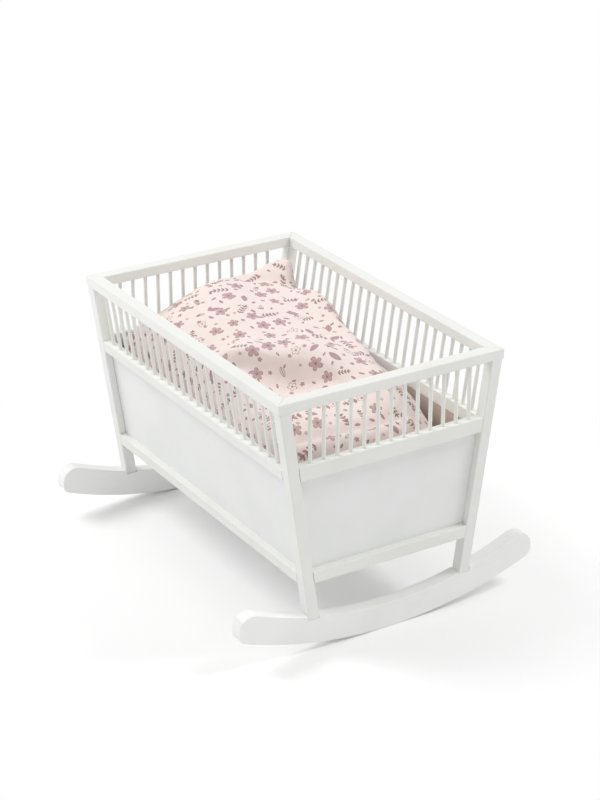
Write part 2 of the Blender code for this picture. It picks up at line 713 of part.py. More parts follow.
def main():
    legs = {(end, side): make_leg(end, side) for end in ENDS for side in SIDES}
    bottom_rails = []
    for side in SIDES:
        bottom_rails.append(
            make_side_rail(side, "bottom", SIDE_BOTTOM_RAIL_LEVEL, SIDE_BOTTOM_RAIL_HEIGHT, legs)
        )
        mid_rail = make_side_rail(side, "mid", SIDE_MID_RAIL_LEVEL, SIDE_MID_RAIL_HEIGHT, legs)
        add_side_spindles(side, mid_rail, make_rim_rail(side, long_x=True))
        make_side_panel(side, legs)
    for end in ENDS:
        bottom_rails.append(
            make_end_rail(end, "bottom", END_BOTTOM_RAIL_LEVEL, END_BOTTOM_RAIL_HEIGHT, legs)
        )
        mid_rail = make_end_rail(end, "mid", END_MID_RAIL_LEVEL, END_MID_RAIL_HEIGHT, legs)
        add_end_spindles(end, mid_rail, make_rim_rail(end, long_x=False))
        make_end_panel(end, legs)
    make_base_board(bottom_rails)
    notches = {side: make_notch_cutter(side) for side in SIDES}
    dowel_holes = {}
    for end, side in legs:
        make_dowel(end, side)
        dowel_holes[end, side] = make_dowel(end, side, grow=FIT_GAP)
        cut(legs[end, side], dowel_holes[end, side])
    for end in ENDS:
        make_rocker(end, notches, dowel_holes)
    make_mattress()
    make_pillow()
    make_duvet()
    bpy.context.view_layer.update()


clear_scene()
CRADLE = new_collection("doll_cradle")
CUTTERS = new_collection("cutters")
FRAMES = {
    "front": add_frame("front_side_frame", -HALF_SPREAD, 0),
    "back": add_frame("back_side_frame", HALF_SPREAD, math.pi),
}
main()
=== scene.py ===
"""Looks for the doll cradle: white painted wood, cotton bedding with a small leaf and blossom print."""

import json
import math

import bmesh
import bpy
import numpy as np
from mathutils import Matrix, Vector
from mathutils.bvhtree import BVHTree

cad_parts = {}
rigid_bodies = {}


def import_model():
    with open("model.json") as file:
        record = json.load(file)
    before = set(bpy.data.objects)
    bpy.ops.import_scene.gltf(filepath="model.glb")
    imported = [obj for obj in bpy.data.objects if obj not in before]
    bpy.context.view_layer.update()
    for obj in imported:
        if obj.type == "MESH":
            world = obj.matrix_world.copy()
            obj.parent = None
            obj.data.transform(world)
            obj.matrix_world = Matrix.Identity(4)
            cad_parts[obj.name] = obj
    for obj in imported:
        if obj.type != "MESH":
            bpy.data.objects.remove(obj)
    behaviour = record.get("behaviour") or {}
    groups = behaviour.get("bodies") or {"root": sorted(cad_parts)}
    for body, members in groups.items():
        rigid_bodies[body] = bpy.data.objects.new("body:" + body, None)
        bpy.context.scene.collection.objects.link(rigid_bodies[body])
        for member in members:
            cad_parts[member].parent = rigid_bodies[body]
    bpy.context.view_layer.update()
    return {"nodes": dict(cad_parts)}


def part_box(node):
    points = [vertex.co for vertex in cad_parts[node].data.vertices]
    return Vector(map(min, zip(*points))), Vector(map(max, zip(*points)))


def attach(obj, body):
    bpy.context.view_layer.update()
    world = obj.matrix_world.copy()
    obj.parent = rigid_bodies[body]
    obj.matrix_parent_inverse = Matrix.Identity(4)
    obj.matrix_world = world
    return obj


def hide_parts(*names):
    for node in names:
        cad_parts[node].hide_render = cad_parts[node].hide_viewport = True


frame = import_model()

# Where the camera stood, in degrees and metres, and its lens and sensor in millimetres
CAMERA_AZIMUTH = 58.141
CAMERA_ELEVATION = 24.473
CAMERA_TARGET = Vector((0.021, 0.0064, 0.2184))
CAMERA_DISTANCE = 2.7744
CAMERA_LENS = 98.52
CAMERA_SENSOR = 36

# The lamps: name, azimuth and elevation in degrees, watts and size in metres. Azimuth 0 is at the
# front side, 90 at the foot end.
SOFTBOXES = (
    ("softbox_left", -45, 45, 24.8, 1.4),
    ("softbox_back", 150, 45, 16.8, 0.8),
)
LAMP_DISTANCE = 2.4
LAMP_AIM = Vector((0, 0, 0.2))
ROOM_LIGHT = 0.615

# The floor: how light it is, how light the camera sees it, where it fades to white, how large it is
# and how far it lies under the rockers
FLOOR_TONE = 0.95
FLOOR_SEEN = 1.06
FLOOR_FADE = (0.32, 0.62)
FLOOR_SIZE = 40
FLOOR_DROP = 0.0002

# Paint coats, where they lie full and where they lie thin
COAT = (0.86, 0.865, 0.83, 1)
THIN_COAT = (0.83, 0.835, 0.79, 1)
BOARD_COAT = (0.86, 0.87, 0.86, 1)
BOARD_THIN_COAT = (0.84, 0.85, 0.835, 1)
# The rockers' coats are the same white paint made lighter: painted light, for the light the floor throws
# back onto the low rockers
ROCKER_COAT_PAINTED_LIGHT = (0.94, 0.945, 0.93, 1)
ROCKER_THIN_COAT_PAINTED_LIGHT = (0.91, 0.915, 0.89, 1)

# Light and dark browns of the boards' inner side, and light and dark shades of the bare wood
INNER_BOARD_BROWNS = ((0.60, 0.50, 0.44, 1), (0.52, 0.42, 0.36, 1))
BARE_WOOD = ((0.60, 0.42, 0.25, 1), (0.48, 0.31, 0.17, 1))

# Scales per metre of the brush marks across and along a stick, of those on a board, of the paint's
# mottle and peel, of the fibre noise on the boards' brown inner side and of the bare wood's grain
MARKS_ACROSS = 260.0
MARKS_ALONG = 9.0
BOARD_MARKS = 22.0
MOTTLE_SCALE = 14.0
PEEL_SCALE = 1400.0
FIBRE_SCALE = 900.0
GRAIN_SCALE = (600.0, 600.0, 30.0)

# How deep the brush marks and the peel are on a stick and on a board, and the bare wood's grain
STICK_DEPTHS = (2.5e-5, 6e-6)
BOARD_DEPTHS = (1e-5, 8e-6)
GRAIN_DEPTH = 0.00004

# Where the coat thins: the share of the brush marks that is added to the mottle, and between which
# values of the sum
MARKS_SHARE = 0.35
THINNING = (0.55, 0.95)

# How rough each finish is, from its smoothest to its roughest places
PAINT_ROUGHNESS = (0.36, 0.5)
WOOD_ROUGHNESS = (0.6, 0.75)
PRINT_ROUGHNESS = (0.82, 0.95)
PLAIN_CLOTH_ROUGHNESS = (0.85, 0.95)

# Cloth and print colours
CLOTH_GROUND = (0.87, 0.75, 0.71, 1)
FADED_CLOTH = (0.95, 0.9, 0.88, 1)
MAUVE = (0.58, 0.40, 0.40, 1)
PLUM = (0.25, 0.12, 0.14, 1)
TAUPE = (0.46, 0.32, 0.24, 1)
TICKING = ((0.86, 0.84, 0.80, 1), (0.80, 0.78, 0.73, 1))
SEAM = ((0.80, 0.72, 0.68, 1), (0.74, 0.66, 0.62, 1))
PIPING = ((0.84, 0.82, 0.78, 1), (0.76, 0.74, 0.70, 1))

# The weaves: distance between threads and their depth in metres, and the scales per metre along
# and across a thread at which it grows thick and thin
FINE_WEAVE = (0.0006, 0.00002)
COARSE_WEAVE = (0.0008, 0.00003)
THREAD_ALONG = 60.0
THREAD_ACROSS = 2600.0

# The part of a noise's range that shows
NOISE_RANGE = (0.3, 0.7)
SLUB_RANGE = (0.35, 0.65)

# How far the print has faded on its thinnest threads
FADING = 0.05

# How soft the print's outlines are, in metres
PRINT_EDGE = 0.00045

# The long sides: how far they lean outwards per metre of height, and how deep their rails are
SIDE_SLOPE = 0.14
RAIL_DEPTH = 0.0125

# The level on which the bedding rests, and the outer upper edge of the rim
BED_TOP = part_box("pillow")[0][2]
RIM_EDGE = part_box("back_rim_rail")[1]

# Room for the bedding: its clearance from the long sides and from the rim's ends, and half its
# greatest length
SIDE_CLEARANCE = 0.002
END_CLEARANCE = 0.0035
HALF_BED_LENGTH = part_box("foot_rim_rail")[0][0] - END_CLEARANCE

# How hard the filling presses on the covers, and for how many frames
FILLING_PRESSURE = 4
FILLING_FRAMES = 20

# Upward part of a face's normal: below the first value it counts as underside, and between the
# others an upright face passes into the upper side
UNDERSIDE_FACING = -0.45
UPPER_FACING = (0.05, 0.5)

# Half the thickness of the bedding's sewn edges and of the mattress's piping, and how far the
# piping lies from the mattress's top and underside
SEAM_RADIUS = 0.0007
PIPING_RADIUS = 0.0013
PIPING_INSET = 0.006

SOFT_NODES = ("mattress", "pillow", "duvet")

# Paint in the joints: the widest gap it fills, how far it stays off the wood, how far it sits back
# and how near to each other the middles of one joint's two faces lie
WIDEST_JOINT = 0.0006
HAIR = 0.00001
JOINT_INSETS = (0.00008, 0.0005, 0.001, 0.002, 0.003)
SAME_JOINT = 0.001

# The notch over a leg's top, on the cot's end: the bevel above it, how far the paint in it stays
# behind the cot's end and in from the leg's outer side, and how wide it is
RIM_BEVEL = 0.0008
NOTCH_INSET = 0.00005
NOTCH_SIDE = 0.00087
NOTCH_WIDTH = 0.0132

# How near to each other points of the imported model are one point, and how nearly level with each
# other its triangles are one face
SAME_POINT = 1e-6
SAME_FACE = math.radians(0.5)


def soft_step(value, low, high):
    share = np.clip((value - low) / (high - low), 0, 1)
    return share * share * (3 - 2 * share)


def select_only(piece):
    for other in bpy.context.view_layer.objects:
        other.select_set(False)
    piece.select_set(True)
    bpy.context.view_layer.objects.active = piece


def apply_all(piece):
    select_only(piece)
    for modifier in list(piece.modifiers):
        bpy.ops.object.modifier_apply(modifier=modifier.name)


# Camera, light and floor


def set_camera():
    azimuth = math.radians(CAMERA_AZIMUTH)
    elevation = math.radians(CAMERA_ELEVATION)
    back = Vector((
        math.sin(azimuth) * math.cos(elevation),
        -math.cos(azimuth) * math.cos(elevation),
        math.sin(elevation),
    ))
    data = bpy.data.cameras.new("studio_camera")
    data.sensor_width = CAMERA_SENSOR
    data.lens = CAMERA_LENS
    camera = bpy.data.objects.new("studio_camera", data)
    bpy.context.scene.collection.objects.link(camera)
    camera.location = CAMERA_TARGET + back * CAMERA_DISTANCE
    camera.rotation_euler = (-back).to_track_quat("-Z", "Y").to_euler()
    bpy.context.scene.camera = camera


def add_softbox(name, azimuth, elevation, watts, size):
    """A round softbox that looks at the middle of the cradle."""
    turn = math.radians(azimuth)
    rise = math.radians(elevation)
    away = Vector((
        math.sin(turn) * math.cos(rise), -math.cos(turn) * math.cos(rise), math.sin(rise)
    ))
    data = bpy.data.lights.new(name, "AREA")
    data.shape = "DISK"
    data.size = size
    data.energy = watts
    lamp = bpy.data.objects.new(name, data)
    bpy.context.scene.collection.objects.link(lamp)
    lamp.location = LAMP_AIM + LAMP_DISTANCE * away
    lamp.rotation_euler = away.to_track_quat("Z", "Y").to_euler()


def light_studio():
    for softbox in SOFTBOXES:
        add_softbox(*softbox)
    world = bpy.data.worlds.new("white_room")
    bpy.context.scene.world = world
    world.use_nodes = True
    tree = world.node_tree
    background = tree.nodes["Background"]
    path = tree.nodes.new("ShaderNodeLightPath")
    seen = tree.nodes.new("ShaderNodeMath")
    seen.operation = "MAXIMUM"
    tree.links.new(path.outputs["Is Camera Ray"], seen.inputs[0])
    tree.links.new(path.outputs["Is Transmission Ray"], seen.inputs[1])
    level = tree.nodes.new("ShaderNodeMapRange")
    level.inputs["To Min"].default_value = ROOM_LIGHT
    level.inputs["To Max"].default_value = 1
    tree.links.new(seen.outputs[0], level.inputs["Value"])
    tree.links.new(level.outputs[0], background.inputs["Strength"])
    background.inputs["Color"].default_value = (1, 1, 1, 1)


def white_floor():
    """Matt white that keeps the cradle's shadow, and for the camera plain white further off."""
    material = bpy.data.materials.new("white_floor")
    material.use_nodes = True
    wiring = Wiring(material.node_tree)
    wiring.tree.nodes.clear()
    camera = wiring.node("LightPath").outputs["Is Camera Ray"]
    tone = wiring.maths("MULTIPLY_ADD", camera, FLOOR_SEEN - FLOOR_TONE, FLOOR_TONE)
    matt = wiring.node("BsdfDiffuse", Color=tone)
    white = wiring.node("Emission", Color=(1, 1, 1, 1), Strength=1.0)
    distance = wiring.vector("LENGTH", wiring.node("TexCoord").outputs["Object"])
    far = wiring.ramp(distance, *FLOOR_FADE)
    blend = wiring.tree.nodes.new("ShaderNodeMixShader")
    wiring.put(wiring.maths("MULTIPLY", far, camera), blend.inputs[0])
    wiring.put(matt.outputs[0], blend.inputs[1])
    wiring.put(white.outputs[0], blend.inputs[2])
    wiring.put(blend.outputs[0], wiring.node("OutputMaterial").inputs["Surface"])
    return material


def lay_floor():
    bpy.ops.mesh.primitive_plane_add(size=FLOOR_SIZE, location=(0, 0, -FLOOR_DROP))
    floor = bpy.context.active_object
    floor.name = "studio_floor"
    floor.data.materials.append(white_floor())


# Shader groups


class Wiring:
    """Adds nodes to one node tree. A value is either a number, a tuple or an output socket."""

    def __init__(self, tree):
        self.tree = tree

    def put(self, value, socket):
        if isinstance(value, bpy.types.NodeSocket):
            self.tree.links.new(value, socket)
        else:
            socket.default_value = value

    def node(self, kind, **inputs):
        made = self.tree.nodes.new("ShaderNode" + kind)
        for name, value in inputs.items():
            self.put(value, made.inputs[name.replace("_", " ")])
        return made

    def maths(self, operation, *values, clamp=False):
        made = self.tree.nodes.new("ShaderNodeMath")
        made.operation = operation
        made.use_clamp = clamp
        for value, socket in zip(values, made.inputs):
            self.put(value, socket)
        return made.outputs[0]

    def vector(self, operation, *values):
        made = self.tree.nodes.new("ShaderNodeVectorMath")
        made.operation = operation
        for value, socket in zip(values, made.inputs):
            self.put(value, socket)
        return made.outputs["Value" if operation in ("LENGTH", "DOT_PRODUCT") else "Vector"]

    def split(self, vector):
        return self.node("SeparateXYZ", Vector=vector).outputs

    def ramp(self, value, low, high, start=0.0, end=1.0):
        """A smooth step from start to end while the value goes from low to high."""
        made = self.tree.nodes.new("ShaderNodeMapRange")
        made.interpolation_type = "SMOOTHSTEP"
        for given, socket in zip((value, low, high, start, end), made.inputs):
            self.put(given, socket)
        return made.outputs[0]

    def mix(self, factor, first, second):
        made = self.tree.nodes.new("ShaderNodeMix")
        made.data_type = "RGBA"
        self.put(factor, made.inputs[0])
        self.put(first, made.inputs[6])
        self.put(second, made.inputs[7])
        return made.outputs[2]

    def noise(self, vector, scale=1.0, detail=2.0):
        made = self.tree.nodes.new("ShaderNodeTexNoise")
        self.put(vector, made.inputs["Vector"])
        self.put(scale, made.inputs["Scale"])
        self.put(detail, made.inputs["Detail"])
        return made.outputs["Fac"]

    def group(self, tree, **inputs):
        made = self.tree.nodes.new("ShaderNodeGroup")
        made.node_tree = tree
        for name, value in inputs.items():
            self.put(value, made.inputs[name.replace("_", " ")])
        return made.outputs


SOCKETS = {"f": "NodeSocketFloat", "v": "NodeSocketVector", "c": "NodeSocketColor"}


def new_group(name, inputs, outputs):
    """An empty shader group. Each socket is given as the letter of its kind, a colon and its name."""
    tree = bpy.data.node_groups.new(name, "ShaderNodeTree")
    for direction, given in (("INPUT", inputs), ("OUTPUT", outputs)):
        for entry in given:
            kind, title = entry.split(":")
            tree.interface.new_socket(title, in_out=direction, socket_type=SOCKETS[kind])
    wiring = Wiring(tree)
    return wiring, tree.nodes.new("NodeGroupInput").outputs, tree.nodes.new("NodeGroupOutput").inputs


def paint_film_group():
    """Satin paint over wood: a slight mottle, brush marks along the grain and a fine peel."""
    wiring, given, out = new_group(
        "paint_film",
        ["c:Coat", "c:Thin Coat", "v:Grain Stretch", "f:Grain Depth", "f:Peel Depth"],
        ["c:Colour", "f:Roughness", "f:Height"],
    )
    place = wiring.node("TexCoord").outputs["Object"]
    marks = wiring.noise(wiring.vector("MULTIPLY", place, given["Grain Stretch"]), detail=3.0)
    mottle = wiring.noise(place, MOTTLE_SCALE, detail=3.0)
    peel = wiring.noise(place, PEEL_SCALE, detail=1.0)
    thin = wiring.ramp(wiring.maths("MULTIPLY_ADD", marks, MARKS_SHARE, mottle), *THINNING)
    wiring.put(wiring.mix(thin, given["Coat"], given["Thin Coat"]), out["Colour"])
    wiring.put(wiring.ramp(mottle, *NOISE_RANGE, *PAINT_ROUGHNESS), out["Roughness"])
    depth = wiring.maths("MULTIPLY", marks, given["Grain Depth"])
    wiring.put(wiring.maths("MULTIPLY_ADD", peel, given["Peel Depth"], depth), out["Height"])
    return wiring.tree


def weave_group():
    """Plain cotton weave on places in metres: raised threads both ways, with thick and thin ones."""
    wiring, given, out = new_group(
        "cotton_weave", ["v:Place", "f:Thread", "f:Depth"], ["f:Height", "f:Slub"]
    )
    sides = wiring.split(given["Place"])
    turns = wiring.maths("DIVIDE", 2 * math.pi, given["Thread"])
    warp = wiring.maths("SINE", wiring.maths("MULTIPLY", sides["X"], turns))
    weft = wiring.maths("SINE", wiring.maths("MULTIPLY", sides["Y"], turns))
    cloth = wiring.maths("MULTIPLY", warp, weft)
    lengthwise = wiring.vector("MULTIPLY", given["Place"], (THREAD_ALONG, THREAD_ACROSS, 1.0))
    crosswise = wiring.vector("MULTIPLY", given["Place"], (THREAD_ACROSS, THREAD_ALONG, 1.0))
    slub = wiring.maths("ADD", wiring.noise(lengthwise), wiring.noise(crosswise))
    wiring.put(wiring.maths("MULTIPLY", wiring.maths("ADD", cloth, slub), given["Depth"]), out["Height"])
    wiring.put(wiring.maths("MULTIPLY", slub, 1 / 2), out["Slub"])
    return wiring.tree


def motif_place_group():
    """Scatters places for motifs: the offset from the nearest one, turned at random, in metres."""
    wiring, given, out = new_group(
        "motif_place", ["v:Place", "f:Pitch", "v:Seed"], ["v:Offset", "f:Choice", "f:Tint"]
    )
    scaled = wiring.vector("DIVIDE", given["Place"], given["Pitch"])
    moved = wiring.vector("ADD", scaled, given["Seed"])
    cells = wiring.tree.nodes.new("ShaderNodeTexVoronoi")
    cells.voronoi_dimensions = "2D"
    wiring.put(moved, cells.inputs["Vector"])
    cells.inputs["Scale"].default_value = 1
    cells.inputs["Randomness"].default_value = 0.62
    offset = wiring.vector("SUBTRACT", moved, cells.outputs["Position"])
    chance = wiring.node("SeparateColor", Color=cells.outputs["Color"]).outputs
    turned = wiring.tree.nodes.new("ShaderNodeVectorRotate")
    turned.rotation_type = "Z_AXIS"
    wiring.put(wiring.vector("MULTIPLY", offset, given["Pitch"]), turned.inputs["Vector"])
    wiring.put(wiring.maths("MULTIPLY", chance[0], 2 * math.pi), turned.inputs["Angle"])
    wiring.put(turned.outputs[0], out["Offset"])
    wiring.put(chance[1], out["Choice"])
    wiring.put(chance[2], out["Tint"])
    return wiring.tree


def leaf_group():
    """A pointed leaf from 0 to Length along, with a dark rim, midrib and side veins."""
    wiring, given, out = new_group(
        "printed_leaf", ["f:Along", "f:Across", "f:Length", "f:Half Width"], ["f:Mask", "f:Tone"]
    )
    bluntness = 0.8
    rim_reach = (0.0003, 0.0011)
    blade_tone = 0.25
    midrib_reach = (0.0002, 0.0005)
    midrib_tone = 0.5
    vein_slant = 1.2
    vein_turns = 3400.0
    vein_crests = (0.2, 0.9)
    vein_tone = 0.3
    share = wiring.maths("DIVIDE", given["Along"], given["Length"], clamp=True)
    rest = wiring.maths("SUBTRACT", 1.0, share)
    # Four times the share times the rest is 1 halfway along
    curve = wiring.maths("MULTIPLY", wiring.maths("MULTIPLY", share, rest), 4.0)
    width = wiring.maths("MULTIPLY", wiring.maths("POWER", curve, bluntness), given["Half Width"])
    side = wiring.maths("ABSOLUTE", given["Across"])
    inside = wiring.maths("SUBTRACT", width, side)
    wiring.put(wiring.ramp(inside, 0.0, PRINT_EDGE), out["Mask"])
    rim = wiring.ramp(inside, *rim_reach, 1.0, blade_tone)
    slanted = wiring.maths("SUBTRACT", given["Along"], wiring.maths("MULTIPLY", side, vein_slant))
    waves = wiring.maths("SINE", wiring.maths("MULTIPLY", slanted, vein_turns))
    veins = wiring.ramp(waves, *vein_crests, 0.0, vein_tone)
    midrib = wiring.ramp(side, *midrib_reach, midrib_tone, 0.0)
    wiring.put(wiring.maths("ADD", wiring.maths("ADD", rim, veins), midrib), out["Tone"])
    return wiring.tree


def sprig_group(leaf):
    """A thin stem with pairs of leaves and one at its tip."""
    wiring, given, out = new_group("printed_sprig", ["v:Offset", "f:Size"], ["f:Mask", "f:Tone"])
    sides = wiring.split(given["Offset"])
    size = given["Size"]
    pitch_share = 0.52
    start_share = 0.3
    length_share = 0.6
    width_share = 0.16
    tip_share = 0.75
    lean = math.radians(52)
    stem_reach = (0.0003, 0.0006)
    stem_tone = 0.9
    pitch = wiring.maths("MULTIPLY", size, pitch_share)
    start = wiring.maths("MULTIPLY", pitch, start_share)
    along = wiring.maths("SUBTRACT", wiring.maths("FLOORED_MODULO", sides["X"], pitch), start)
    side = wiring.maths("ABSOLUTE", sides["Y"])
    turned = []
    for first, operation, second in ((along, "ADD", side), (side, "SUBTRACT", along)):
        level_part = wiring.maths("MULTIPLY", first, math.cos(lean))
        leaning_part = wiring.maths("MULTIPLY", second, math.sin(lean))
        turned.append(wiring.maths(operation, level_part, leaning_part))
    length = wiring.maths("MULTIPLY", size, length_share)
    half_width = wiring.maths("MULTIPLY", size, width_share)
    pair = wiring.group(leaf, Along=turned[0], Across=turned[1], Length=length, Half_Width=half_width)
    reach = wiring.maths("SUBTRACT", size, wiring.maths("ABSOLUTE", sides["X"]))
    within = wiring.maths("GREATER_THAN", reach, 0.0)
    pair_mask = wiring.maths("MULTIPLY", pair["Mask"], within)
    tip_along = wiring.maths("SUBTRACT", sides["X"], wiring.maths("MULTIPLY", size, tip_share))
    tip = wiring.group(leaf, Along=tip_along, Across=sides["Y"], Length=length, Half_Width=half_width)
    stem = wiring.maths("MULTIPLY", wiring.ramp(side, *stem_reach, 1.0, 0.0), within)
    leaves = wiring.maths("MAXIMUM", pair_mask, tip["Mask"])
    wiring.put(wiring.maths("MAXIMUM", leaves, stem), out["Mask"])
    pair_ink = wiring.maths("MULTIPLY", pair["Tone"], pair_mask)
    tip_ink = wiring.maths("MULTIPLY", tip["Tone"], tip["Mask"])
    stem_ink = wiring.maths("MULTIPLY", stem, stem_tone)
    tone = wiring.maths("MAXIMUM", wiring.maths("MAXIMUM", pair_ink, tip_ink), stem_ink)
    wiring.put(tone, out["Tone"])
    return wiring.tree


def blossom_group():
    """An open five-petalled blossom with a dark eye, dark petal edges and fine rays."""
    wiring, given, out = new_group("printed_blossom", ["v:Offset", "f:Size"], ["f:Mask", "f:Tone"])
    sides = wiring.split(given["Offset"])
    size = given["Size"]
    radius = wiring.vector("LENGTH", given["Offset"])
    angle = wiring.maths("ARCTAN2", sides["Y"], sides["X"])
    petals = 5
    petal_share = 0.62
    waist_share = 0.38
    bluntness = 0.55
    rim_reach = (0.0003, 0.0016)
    petal_tone = 0.1
    eye_shares = (0.14, 0.24)
    rays_per_petal = 5.0
    ray_crests = (0.3, 0.9)
    ray_tone = 0.4
    ray_end_shares = (0.65, 0.3)
    lobe = wiring.maths("ABSOLUTE", wiring.maths("COSINE", wiring.maths("MULTIPLY", angle, petals / 2)))
    petal = wiring.maths("MULTIPLY_ADD", wiring.maths("POWER", lobe, bluntness), petal_share, waist_share)
    edge = wiring.maths("SUBTRACT", wiring.maths("MULTIPLY", petal, size), radius)
    wiring.put(wiring.ramp(edge, 0.0, PRINT_EDGE), out["Mask"])
    rim = wiring.ramp(edge, *rim_reach, 1.0, petal_tone)
    share = wiring.maths("DIVIDE", radius, size)
    eye = wiring.ramp(share, *eye_shares, 1.0, 0.0)
    waves = wiring.maths("COSINE", wiring.maths("MULTIPLY", angle, rays_per_petal * petals))
    rays = wiring.ramp(waves, *ray_crests, 0.0, ray_tone)
    shown_rays = wiring.maths("MULTIPLY", rays, wiring.ramp(share, *ray_end_shares))
    wiring.put(wiring.maths("MAXIMUM", wiring.maths("ADD", rim, shown_rays), eye), out["Tone"])
    return wiring.tree


def garden_print_group(place_group, leaf, sprig, blossom):
    """Blossoms, sprigs and single leaves in mauve, plum and taupe, scattered over a pale ground."""
    wiring, given, out = new_group(
        "garden_print", ["v:Place", "c:Ground", "c:Mauve", "c:Plum", "c:Taupe"], ["c:Colour"]
    )
    # How small the smallest motifs are and how much larger the largest, a single leaf's width, from
    # which tints on a motif is filled, how far its ink turns to plum, and at which tones its lines show
    least_size_share = 0.72
    growth_share = 0.5
    leaf_width_share = 0.24
    filled_tints = (0.3, 0.34)
    plum_share = 0.75
    line_tones = (0.35, 0.7)
    colour = given["Ground"]
    # Each layer: the pitch of its motifs, its seed, the sizes of blossom, sprig and leaf, and up to
    # which choice a motif is a blossom and from which on it is a single leaf
    layers = (
        (0.0175, (3.7, 9.1, 0.0), 0.0030, 0.0036, 0.0040, 0.45, 0.45),
        (0.0265, (11.3, 5.9, 0.0), 0.0082, 0.0098, 0.0080, 0.42, 0.76),
    )
    for pitch, seed, blossom_size, sprig_size, leaf_size, blossom_share, leaf_start in layers:
        spot = wiring.group(place_group, Place=given["Place"], Pitch=pitch, Seed=seed)
        grow = wiring.maths("MULTIPLY_ADD", spot["Tint"], growth_share, least_size_share)
        flower_size = wiring.maths("MULTIPLY", grow, blossom_size)
        flower = wiring.group(blossom, Offset=spot["Offset"], Size=flower_size)
        twig_size = wiring.maths("MULTIPLY", grow, sprig_size)
        twig = wiring.group(sprig, Offset=spot["Offset"], Size=twig_size)
        sides = wiring.split(spot["Offset"])
        length = wiring.maths("MULTIPLY", grow, 2 * leaf_size)
        single = wiring.group(
            leaf, Along=wiring.maths("MULTIPLY_ADD", length, 1 / 2, sides["X"]), Across=sides["Y"],
            Length=length, Half_Width=wiring.maths("MULTIPLY", length, leaf_width_share),
        )
        is_flower = wiring.maths("LESS_THAN", spot["Choice"], blossom_share)
        is_leaf = wiring.maths("GREATER_THAN", spot["Choice"], leaf_start)
        is_twig = wiring.maths("SUBTRACT", 1.0, wiring.maths("ADD", is_flower, is_leaf))
        chosen = []
        for result in ("Mask", "Tone"):
            leaf_part = wiring.maths("MULTIPLY", single[result], is_leaf)
            twig_part = wiring.maths("MULTIPLY", twig[result], is_twig)
            other = wiring.maths("ADD", leaf_part, twig_part)
            chosen.append(wiring.maths("MULTIPLY_ADD", flower[result], is_flower, other))
        mask, tone = chosen
        filled = wiring.ramp(spot["Tint"], *filled_tints)
        hue = wiring.mix(filled, given["Taupe"], given["Mauve"])
        ink = wiring.mix(wiring.maths("MULTIPLY", tone, plum_share, clamp=True), hue, given["Plum"])
        line_work = wiring.ramp(tone, *line_tones)
        shown = wiring.maths("MULTIPLY", mask, wiring.maths("MAXIMUM", filled, line_work))
        colour = wiring.mix(shown, colour, ink)
    wiring.put(colour, out["Colour"])
    return wiring.tree


# Materials


def new_material(name):
    material = bpy.data.materials.new(name)
    material.use_nodes = True
    return material, Wiring(material.node_tree), material.node_tree.nodes["Principled BSDF"]


def raise_surface(wiring, shader, height):
    """Bump from a height in metres."""
    bump = wiring.node("Bump", Height=height)
    bump.inputs["Distance"].default_value = 1
    wiring.put(bump.outputs[0], shader.inputs["Normal"])


def painted(name, film, coat, thin_coat, stretch, depths):
    material, wiring, shader = new_material(name)
    grain_depth, peel_depth = depths
    coatings = wiring.group(
        film, Coat=coat, Thin_Coat=thin_coat, Grain_Stretch=stretch, Grain_Depth=grain_depth,
        Peel_Depth=peel_depth,
    )
    wiring.put(coatings["Colour"], shader.inputs["Base Color"])
    wiring.put(coatings["Roughness"], shader.inputs["Roughness"])
    raise_surface(wiring, shader, coatings["Height"])
    shader.inputs["Specular IOR Level"].default_value = 0.4
    return material


def printed_cotton(name, print_group, weave):
    material, wiring, shader = new_material(name)
    place = wiring.node("UVMap").outputs[0]
    pattern = wiring.group(
        print_group, Place=place, Ground=CLOTH_GROUND, Mauve=MAUVE, Plum=PLUM, Taupe=TAUPE
    )
    thread, depth = FINE_WEAVE
    threads = wiring.group(weave, Place=place, Thread=thread, Depth=depth)
    faded = wiring.ramp(threads["Slub"], *SLUB_RANGE, FADING, 0.0)
    wiring.put(wiring.mix(faded, pattern["Colour"], FADED_CLOTH), shader.inputs["Base Color"])
    raise_surface(wiring, shader, threads["Height"])
    roughness = wiring.ramp(threads["Slub"], *NOISE_RANGE, *PRINT_ROUGHNESS)
    wiring.put(roughness, shader.inputs["Roughness"])
    shader.inputs["Specular IOR Level"].default_value = 0.25
    shader.inputs["Sheen Weight"].default_value = 0.15
    return material


def plain_cotton(name, weave, shades, flat=True):
    """Unprinted cotton, on the piece's own UV map where that is laid flat."""
    material, wiring, shader = new_material(name)
    place = wiring.node("UVMap").outputs[0] if flat else wiring.node("TexCoord").outputs["Object"]
    thread, depth = COARSE_WEAVE
    threads = wiring.group(weave, Place=place, Thread=thread, Depth=depth)
    shade = wiring.mix(wiring.ramp(threads["Slub"], *SLUB_RANGE), *shades)
    wiring.put(shade, shader.inputs["Base Color"])
    raise_surface(wiring, shader, threads["Height"])
    roughness = wiring.ramp(threads["Slub"], *NOISE_RANGE, *PLAIN_CLOTH_ROUGHNESS)
    wiring.put(roughness, shader.inputs["Roughness"])
    shader.inputs["Sheen Weight"].default_value = 0.1
    return material


def board_paint(name, film):
    marks = (BOARD_MARKS, BOARD_MARKS, BOARD_MARKS)
    return painted(name, film, BOARD_COAT, BOARD_THIN_COAT, marks, BOARD_DEPTHS)


